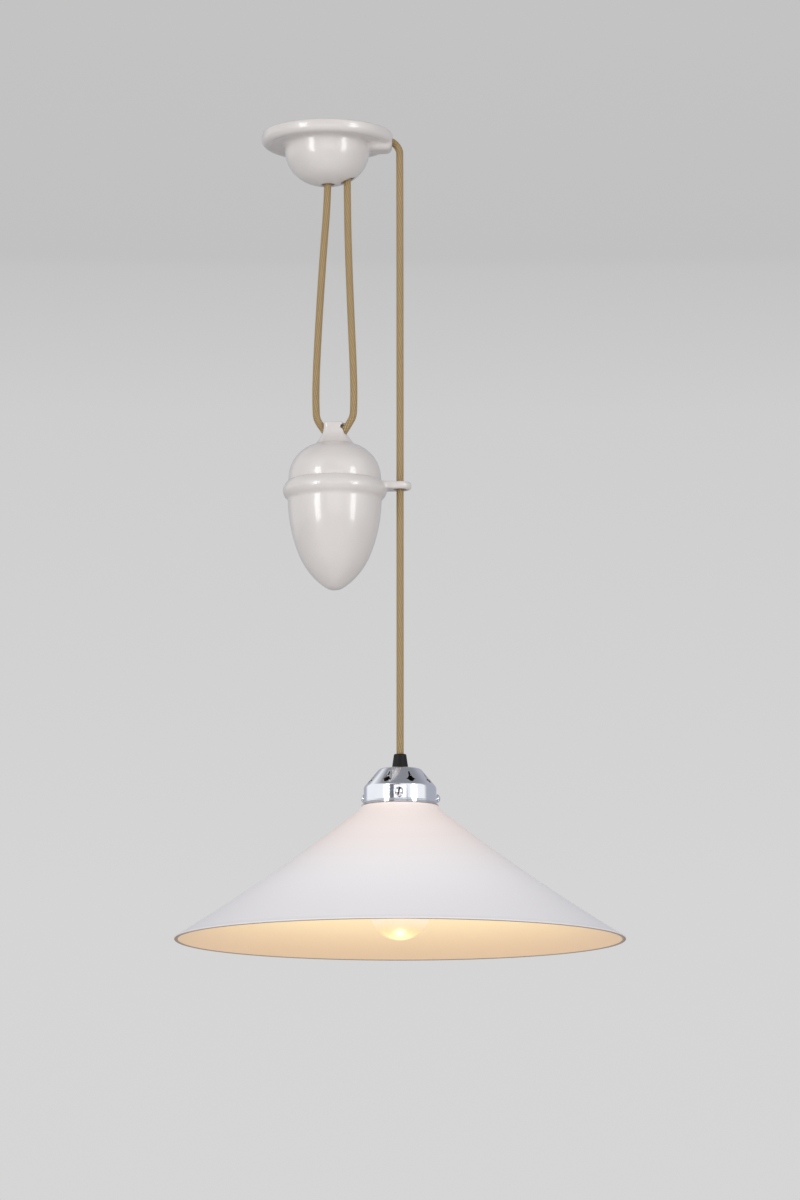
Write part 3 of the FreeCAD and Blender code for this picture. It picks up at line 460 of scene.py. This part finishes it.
def evenly(path, spacing):
    lengths = np.concatenate(([0.0], np.cumsum(np.linalg.norm(np.diff(path, axis=0), axis=1))))
    count = int(round(lengths[-1] / spacing)) + 1
    wanted = np.linspace(0.0, lengths[-1], count)
    return np.stack([np.interp(wanted, lengths, path[:, axis]) for axis in range(3)], axis=1), wanted


braid = {
    "radius": 3.52,
    "ringSpacing": 0.56,
    "ringPoints": 48,
    "yarnsAround": 16.0,
    "yarnLength": 1.9,
    "yarnHeight": 0.16,
    "pathEvery": 6,
    "diameter": 7.0,
}


def directionsAcross(points):
    # two directions square to the cord at each point, carried along without twist
    heading = np.gradient(points, axis=0)
    heading /= np.linalg.norm(heading, axis=1)[:, None]
    side = np.empty_like(points)
    side[0] = np.cross(heading[0], (0.0, 1.0, 0.0))
    for row in range(len(points)):
        start = side[max(row - 1, 0)]
        level = start - heading[row] * np.dot(start, heading[row])
        side[row] = level / np.linalg.norm(level)
    return side, np.cross(heading, side)


def braidedTube(name, path, s):
    points, along = evenly(path, s["ringSpacing"] * mm)
    side, across = directionsAcross(points)
    count = s["ringPoints"]
    turn = np.linspace(0.0, 1.0, count, endpoint=False)
    angle = turn * 2 * math.pi
    u = (along / (s["yarnLength"] * mm))[:, None]
    v = (turn * s["yarnsAround"])[None, :]
    first, second = v + u, v - u
    over = np.mod(np.floor(first) * 2 + np.floor(second), 5) < 2
    ridge = np.where(over, np.abs(np.sin(math.pi * first)), np.abs(np.sin(math.pi * second)))
    radius = (s["radius"] + s["yarnHeight"] * ridge) * mm
    sideways = side[:, None, :] * np.cos(angle)[None, :, None]
    upwards = across[:, None, :] * np.sin(angle)[None, :, None]
    ring = (sideways + upwards) * radius[:, :, None]
    vertices = (points[:, None, :] + ring).reshape(-1, 3)
    rows = len(points)
    faces, uvs = [], []
    for row in range(rows - 1):
        for column in range(count):
            after = (column + 1) % count
            faces.append((row * count + column, row * count + after,
                          (row + 1) * count + after, (row + 1) * count + column))
            here, ahead = u[row, 0], u[row + 1, 0]
            left, right = v[0, column], v[0, column] + s["yarnsAround"] / count
            uvs += [(here, left), (here, right), (ahead, right), (ahead, left)]
    last = (rows - 1) * count
    faces.append(tuple(range(count - 1, -1, -1)))
    faces.append(tuple(last + column for column in range(count)))
    uvs += [(0.0, 0.0)] * (2 * count)
    mesh = bpy.data.meshes.new(name)
    mesh.from_pydata([tuple(vertex) for vertex in vertices], [], faces)
    layer = mesh.uv_layers.new(name="braid")
    layer.data.foreach_set("uv", np.array(uvs, dtype=np.float32).ravel())
    mesh.update()
    mesh.polygons.foreach_set("use_smooth", [True] * len(mesh.polygons))
    piece = bpy.data.objects.new(name, mesh)
    bpy.context.scene.collection.objects.link(piece)
    dress(piece, "braided_cord")
    return piece, [tuple(point) for point in points[:: s["pathEvery"]]] + [tuple(points[-1])]


# the drop: over the wheel in the rose, over the roller at the ear and down to the holder
runDepth = 4.0
wheelX = 29.5
wheelReach = 9.0
rollerX = 57.0
rollerReach = 6.5
dropX = 74.4
eighth = math.tan(math.radians(22.5))
slope = math.radians(25)
rollerCorner = rollerX + rollerReach * math.tan(slope / 2)
bendLevel = -runDepth - (dropX - rollerCorner) * math.tan(slope)
legX = wheelX - wheelReach
dropRoute = [
    ((legX, 0, -44), None),
    ((legX, 0, -runDepth - wheelReach + wheelReach * eighth), wheelReach),
    ((wheelX - wheelReach * eighth, 0, -runDepth), wheelReach),
    ((rollerCorner, 0, -runDepth), rollerReach),
    ((dropX, 0, bendLevel), 17.0),
    ((dropX, 0, -664), None),
]

# the loop: from the anchor round the wheel in the weight's neck and back up into the rose
weightX = 8.4
yaw = math.radians(-20)
lean = math.radians(35)
lowWheelReach = 8.5
lowWheelLevel = -309.2
shoulderSide = 20.3
shoulderReach = 23.0
footSide = lowWheelReach * math.tan((math.pi / 2 - lean) / 2)
loopFoot = lowWheelLevel - lowWheelReach
shoulderLevel = loopFoot + (shoulderSide - footSide) / math.tan(lean)


def loopPoint(side, height):
    return (weightX + side * math.cos(yaw), side * math.sin(yaw), height)


loopRoute = [
    ((1.0, 0, -9.6), None),
    ((1.0, 0, -62), None),
    ((-4.2, 2.4, -128), None),
    ((-8.9, 5.2, -206), None),
    ((-11.3, 7.0, -262), None),
    (loopPoint(-shoulderSide, shoulderLevel), shoulderReach),
    (loopPoint(-footSide, loopFoot), lowWheelReach),
    (loopPoint(footSide, loopFoot), lowWheelReach),
    (loopPoint(shoulderSide, shoulderLevel), shoulderReach),
    ((27.6, -6.6, -258), None),
    ((24.9, -4.4, -200), None),
    ((21.6, -1.6, -120), None),
    ((legX, 0, -62), None),
    ((legX, 0, -44), None),
]


def makeCord(name, route, hidden):
    control = softenedRoute(route)
    path = nurbsPath(f"{name}Line", control)
    piece, along = braidedTube(name, path, braid)
    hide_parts(*hidden)
    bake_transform(piece)


makeCord("dropCord", dropRoute, ["rose_cord", "drop_cord"])
makeCord("loopCord", loopRoute, ["loop_cord", "cord_dead_end"])


# turned pieces: an outline of (radius, height) steps goes once round an upright axis
def outlinePoints(outline, arcStep):
    points = []
    for number, step in enumerate(outline):
        end = Vector(step[:2])
        if len(step) == 2:
            points.append(end)
            continue
        start, radius, turn = Vector(outline[number - 1][:2]), step[2], step[3]
        along = end - start
        left = Vector((-along.y, along.x)).normalized()
        rise = math.sqrt(radius * radius - along.length_squared / 4)
        centre = (start + end) / 2 + left * rise * turn
        first = math.atan2(start.y - centre.y, start.x - centre.x)
        sweep = 2 * math.asin(along.length / 2 / radius) * turn
        count = max(3, math.ceil(along.length / arcStep))
        for part in range(1, count + 1):
            angle = first + sweep * part / count
            points.append(centre + radius * Vector((math.cos(angle), math.sin(angle))))
    return points


def onlySelect(piece):
    bpy.ops.object.select_all(action="DESELECT")
    piece.select_set(True)
    bpy.context.view_layer.objects.active = piece


def flatOutline(name, points, fill="NOTHING"):
    # a circle's corners moved to an upright outline
    bpy.ops.object.select_all(action="DESELECT")
    bpy.ops.mesh.primitive_circle_add(vertices=len(points), radius=50 * mm, fill_type=fill)
    piece = bpy.context.object
    piece.name = piece.data.name = name
    for vertex, point in zip(piece.data.vertices, points):
        vertex.co = (point[0] * mm, 0, point[1] * mm)
    return piece


def turnedPiece(name, outline, axisX, steps, arcStep=2.0, sharpDegrees=35):
    piece = flatOutline(name, outlinePoints(outline, arcStep))
    bpy.ops.object.mode_set(mode="EDIT")
    bpy.ops.mesh.select_all(action="SELECT")
    bpy.ops.mesh.spin(steps=steps, angle=2 * math.pi, center=(0, 0, 0), axis=(0, 0, 1))
    bpy.ops.mesh.select_all(action="SELECT")
    bpy.ops.mesh.remove_doubles(threshold=0.005 * mm)
    bpy.ops.mesh.dissolve_degenerate(threshold=0.001 * mm)
    bpy.ops.mesh.delete_loose(use_verts=True, use_edges=True, use_faces=False)
    bpy.ops.mesh.select_all(action="SELECT")
    bpy.ops.mesh.normals_make_consistent(inside=False)
    bpy.ops.object.mode_set(mode="OBJECT")
    piece.data.transform(Matrix.Translation((axisX * mm, 0, 0)))
    bpy.ops.object.shade_smooth_by_angle(angle=math.radians(sharpDegrees))
    return piece


def applyModifier(piece, kind, **settings):
    onlySelect(piece)
    bpy.ops.object.modifier_add(type=kind)
    modifier = piece.modifiers[-1]
    for name, setting in settings.items():
        setattr(modifier, name, setting)
    bpy.ops.object.modifier_apply(modifier=modifier.name)


bodyOf = {
    nodeName: bodyName
    for bodyName, nodeNames in frame["record"]["behaviour"]["bodies"].items()
    for nodeName in nodeNames
}


def standsFor(piece, nodeName, slotName):
    dress(piece, slotName)
    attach(piece, bodyOf[nodeName])
    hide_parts(nodeName)
    print(f"{piece.name}: {len(piece.data.polygons)} faces")


# the shade: collar, rounded shoulder and long cone with a rolled edge
shadeSizes = {
    "collarRadius": 33.4,
    "neckRadius": 38.5,
    "start": -690.6,
    "shoulder": (45.0, -8.1),
    "shoulderRound": 33.8,
    "sweepRound": 2000.0,
    "rimRadius": 225.0,
    "rimLevel": -825.5,
    "wall": 2.8,
    "stepsAround": 224,
}


def makeShade(s):
    collar, neck, start, wall = s["collarRadius"], s["neckRadius"], s["start"], s["wall"]
    rim, level = s["rimRadius"], s["rimLevel"]
    shoulderX, shoulderZ = s["shoulder"]
    piece = turnedPiece("whiteShade", [
        (collar - wall, start + 15.0),
        (collar + 0.2, start + 15.0),
        (collar, start + 12.0),
        (collar, start + 2.0),
        (neck - 1.2, start),
        (neck, start - 1.2, 1.2, -1),
        (shoulderX, start + shoulderZ, s["shoulderRound"], 1),
        (rim - 1.4, level + 2.4, s["sweepRound"], 1),
        (rim, level + 1.3, 1.5, -1),
        (rim - 1.6, level, 1.5, -1),
        (rim - 3.8, level + 0.7, 4.0, -1),
        (shoulderX - 1.74, start + shoulderZ - 2.2, s["sweepRound"] + wall, -1),
        (neck - 2.3, start - 2.9, s["shoulderRound"] + wall, -1),
        (collar - wall, start - 1.2),
    ], dropX, s["stepsAround"], 5.0)
    mesh = piece.data
    inside = mesh.attributes.new("insideFace", "FLOAT", "FACE")
    edge = mesh.attributes.new("rimFace", "FLOAT", "FACE")
    for number, face in enumerate(mesh.polygons):
        outwards = Vector((face.center.x - dropX * mm, face.center.y, 0)).normalized()
        facing = face.normal.dot(outwards) + face.normal.z
        inside.data[number].value = 1.0 if facing < 0 else 0.0
        edge.data[number].value = 1.0 if face.center.z < (level + 0.75) * mm else 0.0
    standsFor(piece, "shade", "opal_glass")


makeShade(shadeSizes)


# the pierced, chromed gallery over the shade's collar
gallerySizes = {
    "top": -653.3,
    "bottom": -690.3,
    "radius": 36.3,
    "metal": 1.2,
    "hole": 5.1,
    "piercings": 8,
    "firstPiercing": 20.0,
    "piercingLevel": -10.6,
    "piercingReach": 60.0,
    "stepsAround": 240,
    "edgeRound": 0.22,
}


def gallerySide(s, inset):
    wide = s["radius"] - inset
    bottom = s["bottom"] - s["top"]
    return [
        (s["hole"], -inset),
        (18.26, -inset),
        (22.1 - inset * 0.768, -1.8 - inset * 0.64, 5.0 - inset, -1),
        (35.37 - inset * 0.768, -17.73 - inset * 0.64),
        (wide, -20.29, 4.0 - inset, -1),
        (wide, -33.2),
        (wide + 0.9, -34.2, 1.3, -1),
        (wide + 0.2, -35.3, 1.3, -1),
        (wide + 2.4, bottom, 6.0, 1),
    ]


piercing = [
    (-5.2, -2.9, 6.0, -1),
    (-3.0, -3.6),
    (3.0, -3.6, 3.2, 1),
    (5.2, -2.9),
    (1.1, 2.9, 6.0, -1),
    (0.75, 5.0),
    (-0.75, 5.0, 0.8, 1),
    (-1.1, 2.9),
]


def makeGallery(s):
    outer = outlinePoints(gallerySide(s, 0.0), 1.2)
    inner = outlinePoints(gallerySide(s, s["metal"]), 1.2)
    outline = [(point.x, point.y) for point in outer + inner[::-1]]
    piece = turnedPiece("chromedGallery", outline, 0.0, s["stepsAround"], 1.2, 40)
    cutters = []
    for number in range(s["piercings"]):
        points = [(point.x, point.y + s["piercingLevel"]) for point in outlinePoints(piercing, 0.8)]
        cutter = flatOutline(f"piercing{number}", points, "NGON")
        bpy.ops.object.mode_set(mode="EDIT")
        bpy.ops.mesh.select_all(action="SELECT")
        reach = (0, -s["piercingReach"] * mm, 0)
        bpy.ops.mesh.extrude_region_move(TRANSFORM_OT_translate={"value": reach})
        bpy.ops.mesh.select_all(action="SELECT")
        bpy.ops.mesh.normals_make_consistent(inside=False)
        bpy.ops.object.mode_set(mode="OBJECT")
        turn = math.radians(s["firstPiercing"] + number * 360 / s["piercings"])
        cutter.data.transform(Matrix.Rotation(turn, 4, "Z"))
        cutters.append(cutter)
    for cutter in cutters:
        applyModifier(piece, "BOOLEAN", operation="DIFFERENCE", object=cutter, solver="EXACT")
        bpy.data.objects.remove(cutter)
    applyModifier(piece, "BEVEL", width=s["edgeRound"] * mm, segments=2, limit_method="ANGLE",
                  angle_limit=math.radians(50))
    piece.data.transform(Matrix.Translation((dropX * mm, 0, s["top"] * mm)))
    onlySelect(piece)
    bpy.ops.object.shade_smooth_by_angle(angle=math.radians(40))
    standsFor(piece, "gallery", "chromed_steel")


makeGallery(gallerySizes)


# the three slotted screws that pinch the shade's collar
screwSizes = {
    "azimuths": (-91.6, 28.4, 148.4),
    "level": -680.9,
    "tip": 33.7,
    "shank": 2.0,
    "length": 7.6,
    "headRadius": 4.8,
    "headHeight": 3.6,
    "slotWidth": 1.5,
    "slotDepth": 1.9,
    "slotTurns": (-14, 26, 71),
    "edgeRound": 0.16,
}


def makeScrews(s):
    shank, long = s["shank"], s["length"]
    head, high = s["headRadius"], s["headHeight"]
    crown = (head * head + high * high) / (2 * high)
    blank = turnedPiece("gallerySet", [
        (0, 0),
        (shank - 0.4, 0),
        (shank, 0.5),
        (shank, long),
        (head - 0.3, long),
        (head, long + 0.3, 0.3, 1),
        (0, long + high + 0.3, crown, 1),
    ], 0.0, 64, 0.5, 40)
    bpy.ops.object.select_all(action="DESELECT")
    bpy.ops.mesh.primitive_cube_add(size=mm, location=(0, 0, 0))
    slot = bpy.context.object
    floorLevel = long + high + 0.3 - s["slotDepth"]
    slot.data.transform(Matrix.Diagonal((4 * head, s["slotWidth"], 4.0, 1)))
    slot.data.transform(Matrix.Translation((0, 0, (floorLevel + 2.0) * mm)))
    applyModifier(blank, "BOOLEAN", operation="DIFFERENCE", object=slot, solver="EXACT")
    bpy.data.objects.remove(slot)
    applyModifier(blank, "BEVEL", width=s["edgeRound"] * mm, segments=2, limit_method="ANGLE",
                  angle_limit=math.radians(50))
    # the faces inside the slot get the painted shade
    shadow = blank.data.attributes.new("slotFace", "FLOAT", "FACE")
    for number, face in enumerate(blank.data.polygons):
        between = abs(face.center.y) < (s["slotWidth"] / 2 + 0.02) * mm
        above = face.center.z > (floorLevel - 0.1) * mm
        shadow.data[number].value = 1.0 if between and above else 0.0
    bpy.ops.object.shade_smooth_by_angle(angle=math.radians(40))
    copies = []
    for azimuth, slotTurn in zip(s["azimuths"], s["slotTurns"]):
        copy = blank.copy()
        copy.data = blank.data.copy()
        bpy.context.scene.collection.objects.link(copy)
        reach = math.radians(azimuth)
        tip = (dropX + s["tip"] * math.cos(reach), s["tip"] * math.sin(reach), s["level"])
        place = Matrix.Translation(toMetres(tip))
        lie = Matrix.Rotation(reach, 4, "Z") @ Matrix.Rotation(math.pi / 2, 4, "Y")
        copy.data.transform(place @ lie @ Matrix.Rotation(math.radians(slotTurn), 4, "Z"))
        copies.append(copy)
    bpy.data.objects.remove(blank)
    onlySelect(copies[0])
    for copy in copies:
        copy.select_set(True)
    bpy.ops.object.join()
    screws = bpy.context.object
    screws.name = screws.data.name = "slottedScrews"
    standsFor(screws, "gallery_screws", "chromed_steel")


makeScrews(screwSizes)


# the tapered strain relief on top of the gallery
gripSizes = {"top": -638.5, "topRadius": 6.2, "footRadius": 8.3, "height": 14.75, "bore": 3.75}


def makeGrip(s):
    top, foot, high, bore = s["topRadius"], s["footRadius"], s["height"], s["bore"]
    piece = turnedPiece("cordGrip", [
        (bore + 0.5, 0),
        (top - 0.7, 0),
        (top, -0.7, 0.7, -1),
        (top + 0.15, -1.3),
        (foot - 0.15, -high + 1.2),
        (foot, -high + 0.6, 1.0, -1),
        (foot - 0.5, -high, 0.6, -1),
        (5.0, -high),
        (5.0, -high - 6.0),
        (bore, -high - 6.0),
        (bore, -0.5),
        (bore + 0.5, 0, 0.5, -1),
    ], dropX, 96, 0.4)
    piece.data.transform(Matrix.Translation((0, 0, s["top"] * mm)))
    standsFor(piece, "cord_grip", "black_plastic")


makeGrip(gripSizes)


# the lamp's frosted globe
lampSizes = {
    "bottom": -825.0,
    "ballRadius": 30.0,
    "glass": 0.9,
    "neckCurve": 37.4,
    "neckRadius": 14.5,
    "neckHeight": 43.0,
    "mouthRadius": 13.3,
    "mouthLevel": -743.1,
    "meeting": (0.770, 0.638),
}


def makeLamp(s):
    ball, glass, curve, neck = s["ballRadius"], s["glass"], s["neckCurve"], s["neckRadius"]
    middleLevel = s["bottom"] + ball
    neckLevel = middleLevel + s["neckHeight"]
    # where the ball meets the neck's curve, as a share of the radius out and up
    meeting = s["meeting"]
    piece = turnedPiece("lampGlobe", [
        (s["mouthRadius"] - glass, s["mouthLevel"]),
        (s["mouthRadius"], s["mouthLevel"]),
        (neck, neckLevel),
        (ball * meeting[0], middleLevel + ball * meeting[1], curve, 1),
        (0, middleLevel - ball, ball, -1),
        (0, middleLevel - ball + glass),
        ((ball - glass) * meeting[0], middleLevel + (ball - glass) * meeting[1], ball - glass, 1),
        (neck - glass, neckLevel, curve + glass, -1),
    ], dropX, 96, 1.6)
    standsFor(piece, "bulb_globe", "frosted_glass")


makeLamp(lampSizes)


# glazed pieces: the glaze softens every edge of the clay below it
glazeSizes = {"grid": 1.15, "softening": 7, "bedding": 2.2, "capSeat": -358.5}


def makeGlazed(name, nodeName, s, seatLevel=None):
    source = frame["nodes"][nodeName]
    piece = source.copy()
    piece.data = source.data.copy()
    piece.name = piece.data.name = name
    bpy.context.scene.collection.objects.link(piece)
    onlySelect(piece)
    bpy.ops.object.mode_set(mode="EDIT")
    bpy.ops.mesh.select_all(action="SELECT")
    bpy.ops.mesh.remove_doubles(threshold=0.01 * mm)
    bpy.ops.object.mode_set(mode="OBJECT")
    if seatLevel is not None:
        # the cap beds down into the joint's felt, so no gap shows round it
        lowered = [vertex for vertex in piece.data.vertices if vertex.co.z < seatLevel * mm]
        for vertex in lowered:
            vertex.co.z -= s["bedding"] * mm
    applyModifier(piece, "REMESH", mode="VOXEL", voxel_size=s["grid"] * mm)
    applyModifier(piece, "SMOOTH", factor=0.5, iterations=s["softening"])
    bpy.ops.object.shade_smooth()
    standsFor(piece, nodeName, "white_ceramic")


makeGlazed("glazedRose", "ceiling_cover", glazeSizes)
makeGlazed("glazedCap", "weight_cap", glazeSizes, glazeSizes["capSeat"])
makeGlazed("glazedAcorn", "weight_body", glazeSizes)


# floor, world and lights
floorSizes = {"width": 30, "level": -1.75}


def makeFloor(s):
    bpy.ops.object.select_all(action="DESELECT")
    bpy.ops.mesh.primitive_plane_add(size=s["width"], location=(0, 0, s["level"]))
    floor = bpy.context.object
    floor.name = "floor"
    paint = newPaint("floorPaint")
    place = paint.coordinates()
    tone = paint.mix(paint.noise(place, 3.0), linear(214, 214, 214), linear(219, 219, 219))
    floor.data.materials.append(paint.principled(Base_Color=tone, Roughness=0.8))


worldSizes = {
    "edgeDegrees": 13.1,
    "edgeStop": 0.831,
    "wallStops": [
        (0.0, linear(214, 214, 214)),
        (0.37, linear(213, 213, 213)),
        (0.72, linear(206, 206, 206)),
        (0.826, linear(196, 196, 196)),
        (0.834, linear(193, 193, 193)),
        (1.0, linear(195, 195, 195)),
    ],
}


def makeWorld(s):
    world = bpy.data.worlds.new("studio")
    bpy.context.scene.world = world
    paint = Paint(world, "ShaderNodeOutputWorld")
    x, y, z = paint.axes(paint.coordinates("Generated"))
    elevation = z.math("ARCSINE") * (180 / math.pi)
    # seen directly: a wall that gets lighter downwards, with the ceiling's edge above it
    height = (elevation / s["edgeDegrees"] * s["edgeStop"]).clamped()
    wall = paint.add("ShaderNodeValToRGB", {"stops": s["wallStops"]}, {"Fac": height}).out("Color")
    # mirrored: a dark gap behind the camera between two bright windows, and a plain ceiling
    leftSide = (x * -1.0).smooth(-0.05, 0.05)
    gap = (y * -1.0 + leftSide * 0.17).smooth(0.88, 0.94)
    rear = (y - leftSide * 0.70).smooth(-0.15, 0.10)
    room = paint.mix(rear, (1.0, 1.0, 1.0, 1), (0.44, 0.45, 0.50, 1))
    room = paint.mix(gap, room, (0.15, 0.15, 0.17, 1))
    room = paint.mix(z.smooth(0.60, 0.90), room, (0.28, 0.28, 0.30, 1))
    room = paint.mix((z * -1.0).smooth(0.25, 0.7), room, (0.52, 0.52, 0.54, 1))
    path = paint.add("ShaderNodeLightPath", {}, {})
    seen = path.out("Is Camera Ray").math("MAXIMUM", path.out("Is Transmission Ray"))
    around = paint.mix(path.out("Is Glossy Ray"), (0.52, 0.52, 0.53, 1.0), room)
    back = paint.add("ShaderNodeBackground", {}, {"Color": wall, "Strength": 1.0})
    soft = paint.add("ShaderNodeBackground", {}, {"Color": around, "Strength": 1.0})
    paint.cover(paint.add("ShaderNodeMixShader", {}, {0: seen, 1: soft.out(0), 2: back.out(0)}))


def addLight(name, data, power, place):
    data.energy = power
    lamp = bpy.data.objects.new(name, data)
    lamp.location = place
    bpy.context.scene.collection.objects.link(lamp)
    return lamp


# softboxes in metres, each turned towards the middle of the pendant
middle = (0.06, 0.0, -0.45)
softboxes = {
    "leftSoftbox": {"place": (-1.7, -1.9, -0.1), "width": 0.6, "height": 1.6, "power": 26},
    "rightSoftbox": {"place": (1.9, -1.8, -0.1), "width": 0.6, "height": 1.6, "power": 22},
    "frontFill": {"place": (0.1, -3.4, -0.2), "width": 2.4, "height": 1.2, "power": 12},
}


def makeSoftbox(name, s):
    data = bpy.data.lights.new(name, "AREA")
    data.shape = "RECTANGLE"
    data.size, data.size_y = s["width"], s["height"]
    lamp = addLight(name, data, s["power"], s["place"])
    towards = Vector(middle) - Vector(s["place"])
    lamp.rotation_euler = towards.to_track_quat("-Z", "Y").to_euler()


# the warm light below the shade that the lamp sends out
glowSizes = {
    "power": 0.55,
    "colour": (1.0, 0.86, 0.68),
    "radius": 0.02,
    "place": (dropX * mm, 0, -0.90),
}


def makeGlow(s):
    data = bpy.data.lights.new("lampGlow", "POINT")
    data.color = s["colour"]
    data.shadow_soft_size = s["radius"]
    addLight("lampGlow", data, s["power"], s["place"])


makeFloor(floorSizes)
makeWorld(worldSizes)
for boxName, boxSizes in softboxes.items():
    makeSoftbox(boxName, boxSizes)
makeGlow(glowSizes)

bpy.context.scene.view_settings.view_transform = "Standard"
print("stage ready")
